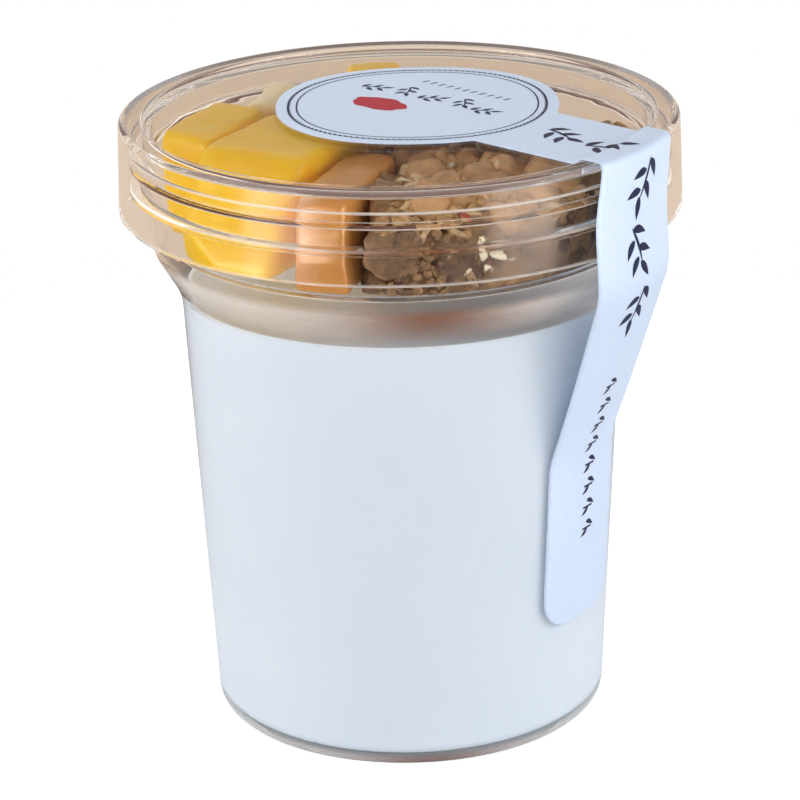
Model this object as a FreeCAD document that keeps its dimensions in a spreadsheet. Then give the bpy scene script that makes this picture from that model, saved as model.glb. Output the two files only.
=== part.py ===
"""Double-layer yogurt cup: a clear cup of set yogurt, a clear tray of fruit and granola in its mouth,
a clear lid over both, and a paper label that runs from the lid down to the cup.

Millimetres, +Z up. The origin is the centre of the foot, -Y is the front. Bearings are degrees
from +X, turning towards +Y.
"""
import FreeCAD, Part
import math
import os
import re

import Sketcher
from FreeCAD import Placement, Rotation, Vector

SIZES = {
    # cup: the outside radii are at the foot, the waist, the shoulder and the mouth
    "foot_radius": 34.5,
    "foot_rounding": 3.0,
    "foot_ring": 5.5,
    "base_recess": 1.0,
    "base_wall": 1.5,
    "cup_wall": 1.2,
    "waist_radius": 38.4,
    "waist_height": 77.8,
    "waist_rounding": 12.0,
    "shoulder_radius": 42.9,
    "shoulder_rise": 7.8,
    "shoulder_rounding": 5.0,
    "mouth_radius": 44.4,
    "neck_rise": 15.4,
    "lip_drop": 4.6,
    "lip_width": 2.0,
    "lip_thickness": 1.2,
    # tray that hangs in the mouth by its flange
    "tray_wall": 0.9,
    "tray_gap": 0.5,
    "tray_floor_gap": 1.1,
    "tray_lift": 1.0,
    "tray_rounding": 2.0,
    "flange_thickness": 1.0,
    "flange_edge": 2.0,
    "headspace": 9.1,
    # lid: a recessed panel in a raised rim, a plug that stands on the flange, and a skirt
    "lid_wall": 1.2,
    "lid_gap": 0.4,
    "lid_rounding": 0.9,
    "rim_width": 4.1,
    "panel_recess": 1.1,
    "plug_height": 5.9,
    "skirt_depth": 15.9,
    "skirt_draft": 0.5,
    # paper label: a disc on the panel and a strip over the rim and down the front right
    "paper": 0.25,
    "paper_gap": 0.05,
    "disc_radius": 24.5,
    "disc_across": 7.2,
    "disc_along": -2.3,
    "strip_width": 21.4,
    "strip_bearing": -43.2,
    "tail_bearing": -35.0,
    "tail_hang": 6.5,
    "tail_landing": 32.5,
    "tail_bend": 14.0,
    "tail_end": 22.0,
    "tail_rounding": 5.5,
    # fruit and granola in the tray
    "food_gap": 0.3,
    "cut_taper": 0.8,
    "cut_rounding": 1.0,
    "heap_height": 15.6,
    "heap_lump": 1.5,
    "heap_back": 14.0,
    "heap_left": -3.9,
}

# Each cut piece of fruit: centre, turn about Z, length, width and height, and how far its front end
# slopes back.
FRUIT = {
    "mango_1": dict(x=-32.6, y=5.4, turn=66.0, length=23.0, width=12.0, height=17.2, slope=1.0),
    "mango_2": dict(x=-22.0, y=-11.75, turn=60.0, length=34.0, width=20.0, height=17.6, slope=11.0),
    "mango_3": dict(x=-4.0, y=36.4, turn=4.0, length=9.8, width=9.4, height=17.7, slope=0.0),
    "pear_1": dict(x=-21.2, y=22.0, turn=75.0, length=14.0, width=9.0, height=16.8, slope=1.0),
    "peach_1": dict(x=-9.2, y=-24.8, turn=72.0, length=29.0, width=9.2, height=16.2, slope=2.0),
}
SIZES.update({f"{name[:-2]}_{'abc'[int(name[-1]) - 1]}_{key}": size
              for name, sizes in FRUIT.items() for key, size in sizes.items()})

# Heights and radii that follow from the sizes, as the sheet's own formulas.
SHOULDER = "(waist_height + shoulder_rise)"
RIM = f"({SHOULDER} + neck_rise)"
LIP_UNDER = f"({RIM} - lip_drop)"
LIP_TOP = f"({LIP_UNDER} + lip_thickness)"
TRAY_UNDER = f"({SHOULDER} + tray_lift)"
TRAY_FLOOR = f"({TRAY_UNDER} + tray_wall)"
FLANGE_TOP = f"({RIM} + flange_thickness)"
LIP_RADIUS = "(mouth_radius + lip_width)"
LID_RADIUS = f"({LIP_RADIUS} + lid_gap + lid_wall)"
LID_TOP = f"({FLANGE_TOP} + plug_height)"
PANEL_TOP = f"({LID_TOP} - panel_recess)"
PANEL_UNDER = f"({PANEL_TOP} - lid_wall)"
SKIRT_EDGE = f"({LID_TOP} - skirt_depth)"
RIM_INNER = f"({LID_RADIUS} - rim_width)"
FILL = f"({TRAY_UNDER} - headspace)"
TRAY_TOP_OUTER = "(mouth_radius - cup_wall - tray_gap)"
TRAY_FLOOR_OUTER = "(shoulder_radius - cup_wall - tray_floor_gap)"

doc = FreeCAD.newDocument("DoubleLayerYogurtCup")
sheet = doc.addObject("Spreadsheet::Sheet", "Sizes")
for row, (name, size) in enumerate(SIZES.items(), start=1):
    sheet.set(f"A{row}", name)
    sheet.set(f"B{row}", str(size))
    sheet.setAlias(f"B{row}", name)
doc.recompute()


def bound(formula):
    """The formula with each size looked up in the sheet."""
    return re.sub(r"[a-z_]+", lambda word: f"Sizes.{word[0]}" if word[0] in SIZES else word[0], formula)


def value(formula):
    """What the formula comes to with the sheet as it stands."""
    return float(sheet.evalExpression(bound(formula)))


def bind(thing, **formulas):
    """Binds properties of an object to the sheet; X__Y stands for the property path X.Y."""
    for path, formula in formulas.items():
        thing.setExpression(path.replace("__", "."), bound(formula))
    return thing


def add(kind, name, **formulas):
    """A new document object with its sizes bound to the sheet."""
    return bind(doc.addObject(kind, name), **formulas)


def pin(sketch, geometry, point, across, up):
    """Holds a point of a sketch at two formulas, or on an axis where one of them is "0"."""
    for kind, axis, formula in (("DistanceX", -2, across), ("DistanceY", -1, up)):
        if formula == "0":
            sketch.addConstraint(Sketcher.Constraint("PointOnObject", geometry, point, axis))
        else:
            size = value(formula)
            index = sketch.addConstraint(Sketcher.Constraint(kind, -1, 1, geometry, point, size))
            sketch.setExpression(f"Constraints[{index}]", bound(formula))


def outline(sketch, corners):
    """A closed outline through corners (across, up) or (across, up, rounding), all formulas."""
    places = [Vector(value(c[0]), value(c[1]), 0) for c in corners]
    count = len(corners)
    ends, arcs = [], {}
    for i, corner in enumerate(corners):
        if len(corner) == 2:
            ends.append((places[i], places[i]))
            continue
        back = (places[i - 1] - places[i]).normalize()
        onward = (places[(i + 1) % count] - places[i]).normalize()
        half = back.getAngle(onward) / 2
        radius = value(corner[2])
        centre = places[i] + (back + onward).normalize() * (radius / math.sin(half))
        start = places[i] + back * (radius / math.tan(half))
        end = places[i] + onward * (radius / math.tan(half))
        middle = centre + (places[i] - centre).normalize() * radius
        turns_left = (start - centre).cross(end - centre).z > 0
        arcs[i] = (Part.Arc(start, middle, end), turns_left)
        ends.append((start, end))
    lines = [sketch.addGeometry(Part.LineSegment(ends[i][1], ends[(i + 1) % count][0]))
             for i in range(count)]
    for i, corner in enumerate(corners):
        before, after = lines[i - 1], lines[i]
        if i not in arcs:
            sketch.addConstraint(Sketcher.Constraint("Coincident", before, 2, after, 1))
            pin(sketch, after, 1, corner[0], corner[1])
            continue
        arc, turns_left = arcs[i]
        rounding = sketch.addGeometry(arc)
        first, last = (1, 2) if turns_left else (2, 1)
        sketch.addConstraint(Sketcher.Constraint("Tangent", before, 2, rounding, first))
        sketch.addConstraint(Sketcher.Constraint("Tangent", rounding, last, after, 1))
        radius = sketch.addConstraint(Sketcher.Constraint("Radius", rounding, value(corner[2])))
        sketch.setExpression(f"Constraints[{radius}]", bound(corner[2]))
        apex = sketch.addGeometry(Part.Point(places[i]), True)
        sketch.addConstraint(Sketcher.Constraint("PointOnObject", apex, 1, before))
        sketch.addConstraint(Sketcher.Constraint("PointOnObject", apex, 1, after))
        pin(sketch, apex, 1, corner[0], corner[1])


def turned(label, corners):
    """A body turned about Z from a closed outline of (radius, height) corners."""
    body = doc.addObject("PartDesign::Body", label)
    body.Label = label
    plane = next(f for f in body.Origin.OriginFeatures if f.Role == "XZ_Plane")
    sketch = body.newObject("Sketcher::SketchObject", f"{label}_outline")
    sketch.AttachmentSupport = (plane, [""])
    sketch.MapMode = "FlatFace"
    outline(sketch, corners)
    doc.recompute()
    turn = body.newObject("PartDesign::Revolution", f"{label}_turn")
    turn.Profile = sketch
    turn.ReferenceAxis = (sketch, ["V_Axis"])
    turn.Angle = 360
    return body


def common(label, base, tool):
    """What two objects share, as a sub-part."""
    shared = doc.addObject("Part::Common", label)
    shared.Label = label
    shared.Base, shared.Tool = base, tool
    return shared


def cup_inside():
    """The cup's inner wall from its floor at the axis to the mouth, one wall inside the outer one."""
    return [
        ("0", "base_recess + base_wall"),
        ("foot_radius - cup_wall", "base_recess + base_wall", "foot_rounding - cup_wall"),
        ("waist_radius - cup_wall", "waist_height", "waist_rounding + cup_wall"),
        ("shoulder_radius - cup_wall", SHOULDER, "shoulder_rounding - cup_wall"),
        ("mouth_radius - cup_wall", LIP_UNDER),
    ]


def make_cup():
    """Foot ring, tapered wall, S-shaped shoulder, neck with a lip all round, and the open mouth."""
    outside = [
        ("0", "base_recess"),
        ("foot_radius - foot_ring", "base_recess"),
        ("foot_radius - foot_ring", "0"),
        ("foot_radius", "0", "foot_rounding"),
        ("waist_radius", "waist_height", "waist_rounding"),
        ("shoulder_radius", SHOULDER, "shoulder_rounding"),
        ("mouth_radius", LIP_UNDER),
        (LIP_RADIUS, LIP_UNDER),
        (LIP_RADIUS, LIP_TOP),
        ("mouth_radius", LIP_TOP),
        ("mouth_radius", RIM),
        ("mouth_radius - cup_wall", RIM),
    ]
    return turned("cup", outside + cup_inside()[::-1])


def make_yogurt():
    """Yogurt that fills the cup up to its level, cut off level below the tray."""
    room = turned("cup_room", cup_inside() + [("mouth_radius - cup_wall", RIM), ("0", RIM)])
    level = add("Part::Cylinder", "fill", Radius="mouth_radius", Height=FILL)
    return common("yogurt", room, level)


def make_tray():
    """Shallow tray with a flange on the cup's rim and an upright edge round the flange."""
    return turned("tray", [
        ("0", TRAY_UNDER),
        (TRAY_FLOOR_OUTER, TRAY_UNDER, "tray_rounding"),
        (TRAY_TOP_OUTER, RIM),
        (LIP_RADIUS, RIM),
        (LIP_RADIUS, f"{FLANGE_TOP} + flange_edge"),
        (f"{LIP_RADIUS} - tray_wall", f"{FLANGE_TOP} + flange_edge"),
        (f"{LIP_RADIUS} - tray_wall", FLANGE_TOP),
        (f"{TRAY_TOP_OUTER} - tray_wall", FLANGE_TOP),
        (f"{TRAY_FLOOR_OUTER} - tray_wall", TRAY_FLOOR, "tray_rounding - tray_wall"),
        ("0", TRAY_FLOOR),
    ])


def make_lid():
    """Recessed panel, raised rim, plug ring down to the flange, and a skirt outside the lip."""
    plug = f"{RIM_INNER} - lid_wall"
    return turned("lid", [
        ("0", PANEL_TOP),
        (RIM_INNER, PANEL_TOP),
        (RIM_INNER, LID_TOP, "lid_rounding / 2"),
        (LID_RADIUS, LID_TOP, "lid_rounding"),
        (f"{LID_RADIUS} + skirt_draft", SKIRT_EDGE),
        (f"{LID_RADIUS} + skirt_draft - lid_wall", SKIRT_EDGE),
        (f"{LID_RADIUS} - lid_wall", f"{LID_TOP} - lid_wall"),
        (RIM_INNER, f"{LID_TOP} - lid_wall"),
        (RIM_INNER, FLANGE_TOP),
        (plug, FLANGE_TOP),
        (plug, PANEL_UNDER),
        ("0", PANEL_UNDER),
    ])


def box_along(name, bearing, length, width, bottom, top, across="0"):
    """A box that runs out from the axis along a bearing, centred on it or moved across it."""
    box = add("Part::Box", name, Length=length, Width=width, Height=f"{top} - {bottom}",
              Placement__Rotation__Angle=bearing, Placement__Base__z=bottom)
    side = f"({across} - ({width}) / 2)"
    bind(box, Placement__Base__x=f"-{side} * sin({bearing} * 1deg)",
         Placement__Base__y=f"{side} * cos({bearing} * 1deg)")
    box.Placement.Rotation = Rotation(Vector(0, 0, 1), value(bearing))
    return box


def make_label():
    """Paper label: a thin turned sheet that follows panel, rim, skirt and cup, cut to its outline."""
    lid_side = f"{LID_RADIUS} + paper_gap"
    edge_side = f"{LID_RADIUS} + skirt_draft + paper_gap"
    hang = f"({SKIRT_EDGE} - tail_hang)"
    landing = f"({hang} - tail_landing)"
    slope = "(waist_radius - foot_radius) / waist_height"
    landing_side = f"foot_radius + {landing} * {slope} + paper_gap"
    end_side = f"foot_radius + tail_end * {slope} + paper_gap"
    under = [
        ("0", PANEL_TOP),
        (f"{RIM_INNER} - rim_width / 2", PANEL_TOP),
        (RIM_INNER, f"{LID_TOP} + paper_gap"),
        (lid_side, f"{LID_TOP} + paper_gap", "lid_rounding"),
        (edge_side, SKIRT_EDGE),
        (edge_side, hang, "tail_bend"),
        (landing_side, landing, "tail_bend"),
        (end_side, "tail_end"),
    ]
    over = [
        ("0", f"{PANEL_TOP} + paper"),
        (f"{RIM_INNER} - rim_width / 2", f"{PANEL_TOP} + paper"),
        (RIM_INNER, f"{LID_TOP} + paper_gap + paper"),
        (f"{lid_side} + paper", f"{LID_TOP} + paper_gap + paper", "lid_rounding + paper"),
        (f"{edge_side} + paper", SKIRT_EDGE),
        (f"{edge_side} + paper", hang, "tail_bend + paper"),
        (f"{landing_side} + paper", landing, "tail_bend - paper"),
        (f"{end_side} + paper", "tail_end"),
    ]
    paper = turned("paper_sheet", under + over[::-1])

    middle = f"({LID_TOP} - lid_wall)"
    reach = f"{LID_RADIUS} * 1.2"
    strip = box_along("strip", "strip_bearing", reach, "strip_width", middle, f"{LID_TOP} + lid_wall",
                      "disc_across")
    tail = box_along("tail_block", "tail_bearing", reach, "strip_width", "tail_end", middle)
    doc.recompute()
    tail_cut = doc.addObject("Part::Fillet", "tail")
    tail_cut.Base = tail
    low = value("tail_end")
    lower_edges = [i for i, e in enumerate(tail.Shape.Edges, start=1)
                   if abs(e.Length - value(reach)) < 1e-6 and abs(e.CenterOfMass.z - low) < 1e-6]
    radius = value("tail_rounding")
    tail_cut.Edges = [(i, radius, radius) for i in lower_edges]

    disc = add("Part::Cylinder", "disc", Radius="disc_radius", Height="panel_recess + lid_wall",
               Placement__Base__z=f"{PANEL_TOP} - lid_wall / 2")
    turn = "strip_bearing * 1deg"
    bind(disc, Placement__Base__x=f"disc_along * cos({turn}) - disc_across * sin({turn})",
         Placement__Base__y=f"disc_along * sin({turn}) + disc_across * cos({turn})")
    cutter = doc.addObject("Part::MultiFuse", "label_outline")
    cutter.Shapes = [disc, strip, tail_cut]
    return common("label", paper, cutter)


def fruit_sizes(name):
    """The sheet's names for one piece of fruit."""
    stem = f"{name[:-2]}_{'abc'[int(name[-1]) - 1]}"
    return {key: f"{stem}_{key}" for key in FRUIT[name]}


def make_fruit(name, room):
    """A cut piece with slanted sides, a sloping front end and rounded edges, no larger than the room
    in the tray."""
    size = fruit_sizes(name)
    length, width, height, slope = (size[key] for key in ("length", "width", "height", "slope"))
    block = add("Part::Wedge", f"{name}_block", Xmin="0", Ymin="0", Zmin="0",
                Xmax=length, Ymax=height, Zmax=width, X2min=f"cut_taper + {slope}", Z2min="cut_taper / 2",
                X2max=f"{length} - cut_taper / 2", Z2max=f"{width} - cut_taper")
    block.recompute()
    rounded = doc.addObject("Part::Fillet", f"{name}_rounded")
    rounded.Base = block
    radius = value("cut_rounding")
    rounded.Edges = [(i + 1, radius, radius) for i in range(len(block.Shape.Edges))]
    upright = Rotation(Vector(1, 0, 0), 90)
    turn = Rotation(Vector(0, 0, 1), value(size["turn"]))
    centre = Vector(value(size["x"]), value(size["y"]), value(TRAY_FLOOR))
    offset = turn.multVec(Vector(-value(length) / 2, value(width) / 2, 0))
    rounded.Placement = Placement(centre + offset, turn.multiply(upright))
    return common(name, rounded, room)


def make_granola():
    """Heap of toasted clusters, as one faceted solid on the tray's floor.

    About a point inside its outline, each bearing runs out to the nearest of its limits: the tray's
    wall, the lines at the back and at the left, and the side of the peach piece up to its far end.
    The top and the sides carry lumps worked out from sines of the place.
    """
    floor, lump = value(TRAY_FLOOR), value("heap_lump")
    gap = value("food_gap")
    floor_radius = value(f"{TRAY_FLOOR_OUTER} - tray_wall") - gap
    corner = value("tray_rounding - tray_wall")
    spread = value(f"({TRAY_TOP_OUTER} - {TRAY_FLOOR_OUTER}) / ({FLANGE_TOP} - {TRAY_FLOOR})")
    height = min(value("heap_height"), value(f"{PANEL_UNDER} - {TRAY_FLOOR}") - gap - lump)
    size = fruit_sizes("peach_1")
    turn = math.radians(value(size["turn"]))
    side = Vector(math.sin(turn), -math.cos(turn), 0)
    peach_place = Vector(value(size["x"]), value(size["y"]), 0)
    side_place = peach_place + side * (value(size["width"]) / 2 + 2 * gap)
    lengthwise = Vector(math.cos(turn), math.sin(turn), 0)
    heart = Vector(floor_radius * 0.36, -floor_radius * 0.34, 0)

    def reach(bearing, up):
        """How far the outline is from the heart at a bearing and a height above the floor."""
        way = Vector(math.cos(bearing), math.sin(bearing), 0)
        along = heart.dot(way)
        radius = floor_radius + spread * up
        limits = [-along + math.sqrt(along ** 2 + radius ** 2 - heart.dot(heart))]
        for normal, place in ((Vector(0, 1, 0), Vector(0, value("heap_back"), 0)),
                              (Vector(-1, 0, 0), Vector(value("heap_left"), 0, 0)), (side * -1, side_place)):
            if way.dot(normal) > 1e-6:
                limit = (place - heart).dot(normal) / way.dot(normal)
                past = (heart + way * limit - peach_place).dot(lengthwise) - value(size["length"]) / 2
                if normal != side * -1 or past < 2:
                    limits.append(limit)
        return min(limits)

    def bumps(x, y, z):
        """A rough surface between 0 and 1 with lumps about 5 mm wide."""
        wave = (math.sin(1.25 * x + 0.9 * math.sin(0.8 * y + 0.5 * z))
                * math.sin(1.15 * y + 0.8 * math.sin(0.7 * x - 0.6 * z)))
        return 0.5 + 0.5 * wave

    def place(bearing, share, up):
        """A point of the surface: share of the reach, and height above the floor."""
        distance = reach(bearing, up) * share
        x, y = heart.x + distance * math.cos(bearing), heart.y + distance * math.sin(bearing)
        return Vector(x, y, floor + up)

    around, rings, levels = 84, 11, 4
    bearings = [2 * math.pi * k / around for k in range(around)]
    top = [[] for _ in range(rings)]
    for k in range(rings):
        share = (k + 1) / (rings + 0.6)
        for b in bearings:
            flat = place(b, share, height)
            fall = 2.2 * share ** 4
            flat.z += lump * bumps(flat.x, flat.y, 0) - fall
            top[k].append(flat)
    sides = [[] for _ in range(levels)]
    for k in range(levels):
        up = (height - 2.4) * (1 - k / (levels - 1))
        for b in bearings:
            on_wall = place(b, 1.0, up)
            inward = lump * 0.8 * bumps(on_wall.x, on_wall.y, 2.2 * up) / reach(b, up)
            under = max(corner - up, 0) / reach(b, up)
            sides[k].append(place(b, 1.0 - inward - under, up))
    layers = top + sides
    faces = []

    def facet(*points):
        faces.append(Part.Face(Part.makePolygon(list(points) + [points[0]])))

    crown = Vector(heart.x, heart.y, floor + height + lump / 2)
    for k in range(around):
        onward = (k + 1) % around
        facet(crown, layers[0][k], layers[0][onward])
        for upper, lower in zip(layers[:-1], layers[1:]):
            facet(upper[k], lower[k], lower[onward])
            facet(upper[k], lower[onward], upper[onward])
    faces.append(Part.Face(Part.makePolygon(layers[-1] + [layers[-1][0]])))
    granola = doc.addObject("Part::Feature", "granola")
    granola.Label = "granola"
    granola.Shape = Part.Solid(Part.Shell(faces))
    return granola


def make_food():
    """The fruit, each piece cut to the room inside the tray, and the granola beside it."""
    room = turned("tray_room", [
        ("0", TRAY_FLOOR),
        (f"{TRAY_FLOOR_OUTER} - tray_wall - food_gap", TRAY_FLOOR, "tray_rounding - tray_wall"),
        (f"{TRAY_TOP_OUTER} - tray_wall - food_gap", FLANGE_TOP),
        (f"{TRAY_TOP_OUTER} - tray_wall - food_gap", f"{PANEL_UNDER} - food_gap"),
        ("0", f"{PANEL_UNDER} - food_gap"),
    ])
    return [make_fruit(name, room) for name in FRUIT] + [make_granola()]


parts = [make_cup(), make_yogurt(), make_tray(), make_lid(), make_label()] + make_food()
doc.recompute()

for thing in doc.Objects:
    if "Invalid" in thing.State or "Error" in thing.State:
        raise RuntimeError(f"{thing.Label} failed: {thing.State}")
for part in parts:
    if part.Shape.isNull() or not part.Shape.isValid() or len(part.Shape.Solids) != 1:
        raise RuntimeError(f"{part.Label} is not one valid solid")

os.makedirs("parts", exist_ok=True)
for part in parts:
    part.Shape.exportStep(f"parts/{part.Label}.step")
    print(part.Label, "volume", round(part.Shape.Volume / 1000, 3), "ml")
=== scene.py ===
"""Looks of the double-layer yogurt cup: clear plastic, set yogurt, cut fruit, granola and a paper label.

Shapes are worked out in millimetres, with the origin at the centre of the foot, +Z up and -Y the
front, and go into the meshes in metres. Bearings turn from +X towards +Y.
"""

import math

import bpy
import numpy as np
from mathutils import Matrix, Vector


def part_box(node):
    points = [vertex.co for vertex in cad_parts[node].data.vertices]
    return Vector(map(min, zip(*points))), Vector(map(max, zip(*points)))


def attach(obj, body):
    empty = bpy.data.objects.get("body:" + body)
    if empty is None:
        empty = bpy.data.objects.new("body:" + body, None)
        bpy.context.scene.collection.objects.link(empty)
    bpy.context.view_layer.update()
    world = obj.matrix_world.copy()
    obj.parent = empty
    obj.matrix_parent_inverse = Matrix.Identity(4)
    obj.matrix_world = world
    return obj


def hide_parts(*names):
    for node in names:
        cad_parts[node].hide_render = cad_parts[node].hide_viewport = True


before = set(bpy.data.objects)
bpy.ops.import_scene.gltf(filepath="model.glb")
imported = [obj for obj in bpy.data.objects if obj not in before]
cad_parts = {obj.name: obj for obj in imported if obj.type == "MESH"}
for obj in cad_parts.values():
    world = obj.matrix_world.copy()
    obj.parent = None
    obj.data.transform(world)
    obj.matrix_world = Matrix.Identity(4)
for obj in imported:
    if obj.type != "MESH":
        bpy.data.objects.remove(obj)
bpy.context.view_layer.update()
scene = bpy.context.scene
MM = 0.001


def make_camera():
    """A long lens that looks down on the cup from the front, rolled slightly clockwise."""
    data = bpy.data.cameras.new("camera")
    data.lens, data.sensor_width, data.clip_start = 154.6, 36.0, 0.01
    camera = bpy.data.objects.new("camera", data)
    scene.collection.objects.link(camera)
    pitch, roll, distance = math.radians(20.43), math.radians(-1.276), 605.93 * MM
    target = Vector((-0.883, 0.0, 55.05)) * MM
    place = target + distance * Vector((0, -math.cos(pitch), math.sin(pitch)))
    look = Matrix.Rotation(math.pi / 2 - pitch, 4, "X") @ Matrix.Rotation(roll, 4, "Z")
    camera.matrix_world = Matrix.Translation(place) @ look
    scene.camera = camera


make_camera()

# ---------------------------------------------------------------- sizes

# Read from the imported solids, in millimetres.
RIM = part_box("cup")[1].z / MM
LIP_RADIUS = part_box("cup")[1].x / MM
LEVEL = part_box("yogurt")[1].z / MM
TRAY_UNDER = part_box("tray")[0].z / MM
TRAY_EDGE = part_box("tray")[1].z / MM
SKIRT_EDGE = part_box("lid")[0].z / MM
LID_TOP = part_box("lid")[1].z / MM
SKIRT_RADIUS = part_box("lid")[1].x / MM
TAIL_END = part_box("label")[0].z / MM

# Cup
FOOT_RADIUS, FOOT_ROUNDING, FOOT_RING, BASE_RECESS, BASE_WALL = 34.5, 3.0, 5.5, 1.0, 1.5
CUP_WALL = 1.2
WAIST_RADIUS, WAIST_HEIGHT, WAIST_ROUNDING = 38.4, 77.8, 12.0
SHOULDER_RADIUS, SHOULDER_RISE, SHOULDER_ROUNDING = 42.9, 7.8, 5.0
LIP_WIDTH, LIP_DROP, LIP_THICKNESS = 2.0, 4.6, 1.2
MOUTH_RADIUS = LIP_RADIUS - LIP_WIDTH
SHOULDER = WAIST_HEIGHT + SHOULDER_RISE
# Tray
TRAY_WALL, TRAY_GAP, TRAY_FLOOR_GAP, TRAY_ROUNDING, FLANGE = 0.9, 0.5, 1.1, 2.0, 1.0
TRAY_FLOOR = TRAY_UNDER + TRAY_WALL
TRAY_TOP_OUTER = MOUTH_RADIUS - CUP_WALL - TRAY_GAP
TRAY_FLOOR_OUTER = SHOULDER_RADIUS - CUP_WALL - TRAY_FLOOR_GAP
FLANGE_TOP = RIM + FLANGE
# Lid
LID_WALL, LID_ROUNDING, RIM_WIDTH, PANEL_RECESS, SKIRT_DRAFT = 1.2, 0.9, 4.1, 1.1, 0.5
LID_RADIUS = SKIRT_RADIUS - SKIRT_DRAFT
RIM_INNER = LID_RADIUS - RIM_WIDTH
PANEL_TOP = LID_TOP - PANEL_RECESS
PANEL_UNDER = PANEL_TOP - LID_WALL
# Label
PAPER, PAPER_GAP = 0.2, 0.05
DISC_RADIUS, DISC_SQUARENESS, DISC_ALONG, DISC_ACROSS = 24.5, 2.2, -2.3, 7.2
STRIP_WIDTH, STRIP_BEARING, SKIRT_BEARING, TAIL_BEARING = 21.4, -43.2, -36.6, -33.0
TAIL_HANG, TAIL_LANDING, TAIL_BEND, TAIL_ROUNDING = 6.5, 32.5, 14.0, 5.5

# ---------------------------------------------------------------- materials


def linear(colour):
    """An sRGB hex colour as linear RGBA."""
    srgb = np.array([int(colour[i:i + 2], 16) for i in (1, 3, 5)]) / 255
    rgb = np.where(srgb <= 0.04045, srgb / 12.92, ((srgb + 0.055) / 1.055) ** 2.4)
    return (*rgb.tolist(), 1.0)


def add_node(tree, kind, sockets=None, **settings):
    """A node with its settings. Each named or numbered socket takes a value or a link."""
    node = tree.nodes.new(kind)
    for key, setting in settings.items():
        setattr(node, key, setting)
    for key, source in (sockets or {}).items():
        if isinstance(source, bpy.types.NodeSocket):
            tree.links.new(source, node.inputs[key])
        else:
            node.inputs[key].default_value = source
    return node


def new_material(name):
    """An empty node material and its tree."""
    material = bpy.data.materials.new(name)
    material.use_nodes = True
    material.node_tree.nodes.clear()
    return material, material.node_tree


def noise(tree, place, size, detail, **more):
    """Noise at a place, with waves about size mm long."""
    sockets = {"Vector": place, "Scale": 1 / (size * MM), "Detail": detail, **more}
    return add_node(tree, "ShaderNodeTexNoise", sockets).outputs["Fac"]


def mixed(tree, share, low, high):
    """The colour at a share of the way between two, each a hex colour or a socket."""
    low, high = (linear(colour) if isinstance(colour, str) else colour for colour in (low, high))
    return add_node(tree, "ShaderNodeMix", {0: share, 6: low, 7: high}, data_type="RGBA").outputs[2]


def bumped(tree, height, strength, depth):
    """The normal of a surface whose full height is depth mm."""
    sockets = {"Height": height, "Strength": strength, "Distance": depth * MM}
    return add_node(tree, "ShaderNodeBump", sockets).outputs["Normal"]


def ranged(tree, value, low, high, to_low=0.0, to_high=1.0, **settings):
    """A value brought from one range to another and kept inside it."""
    sockets = {"Value": value, "From Min": low, "From Max": high, "To Min": to_low, "To Max": to_high}
    return add_node(tree, "ShaderNodeMapRange", sockets, **settings).outputs[0]


def worked(tree, operation, *values):
    """The result of one sum on its values."""
    return add_node(tree, "ShaderNodeMath", dict(enumerate(values)), operation=operation).outputs[0]


def joined(tree, share, low, high):
    """The surface, or background, at a share of the way between two."""
    return add_node(tree, "ShaderNodeMixShader", {0: share, 1: low, 2: high}).outputs[0]


def principled(tree, **sockets):
    """A principled surface. Underscores in the names of its sockets stand for spaces."""
    named = {name.replace("_", " "): value for name, value in sockets.items()}
    return add_node(tree, "ShaderNodeBsdfPrincipled", named).outputs[0]


def object_place(tree):
    """The place on the piece, in its own frame."""
    return add_node(tree, "ShaderNodeTexCoord").outputs["Object"]


def attribute(tree, name):
    """The number that a piece's points carry by this name."""
    return add_node(tree, "ShaderNodeAttribute", attribute_name=name).outputs["Fac"]


def finished(material, tree, surface):
    """The material with its surface joined to its output."""
    add_node(tree, "ShaderNodeOutputMaterial", {"Surface": surface})
    return material


# Below real polystyrene's 1.59, so that the plastic's rims stay light.
PLASTIC_IOR = 1.16
# A ray that has met more surfaces than this goes straight on through the plastic.
LAST_BEND = 3.5


def clear_plastic(name, tint, roughness, waviness):
    """Clear polystyrene: smooth and bright, with a faint warm tint and flow waves about 14 mm long.
    Lamps and soft light pass straight through it, so that what it holds is lit, and a ray that has
    met several surfaces leaves it straight on instead of running round in its walls."""
    material, tree = new_material(name)
    waves = noise(tree, object_place(tree), 14, 1.0)
    plastic = principled(tree, Base_Color=linear(tint), Roughness=roughness, IOR=PLASTIC_IOR,
                         Transmission_Weight=1.0, Normal=bumped(tree, waves, waviness, 0.5))
    # The coat's colour turns brown by a second number: a painted reflection of the granola.
    film_and_painted_light = mixed(tree, attribute(tree, "painted_granola_reflection"), "#FBF1E6", "#8E4E1C")
    # A whitish coat, by the first number the points carry: partly whitish edges and yogurt left on the wall,
    # partly painted highlight and painted light.
    haze_and_painted_light = principled(tree, Base_Color=film_and_painted_light, Roughness=0.35)
    plastic = joined(tree, attribute(tree, "milky_and_painted_light"), plastic, haze_and_painted_light)
    through = add_node(tree, "ShaderNodeBsdfTransparent", {"Color": linear("#FFFFFF")}).outputs[0]
    path = add_node(tree, "ShaderNodeLightPath").outputs
    late = worked(tree, "GREATER_THAN", path["Ray Depth"], LAST_BEND)
    free = worked(tree, "MAXIMUM", path["Is Diffuse Ray"], late)
    soft = joined(tree, free, plastic, through)
    return finished(material, tree, joined(tree, path["Is Shadow Ray"], soft, through))


def set_yogurt():
    """Set whole-milk yogurt: dense cool white, light soaks in a little, wet gloss."""
    material, tree = new_material("set_yogurt")
    place = object_place(tree)
    colour = mixed(tree, noise(tree, place, 22, 2.0), "#E0E9F3", "#E9EFF6")
    curd = noise(tree, place, 3, 3.0)
    return finished(material, tree, principled(
        tree, Base_Color=colour, Roughness=0.28, Subsurface_Weight=0.6, Subsurface_Radius=(1.0, 0.9, 0.8),
        Subsurface_Scale=2 * MM, Normal=bumped(tree, curd, 0.15, 0.2)))


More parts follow.
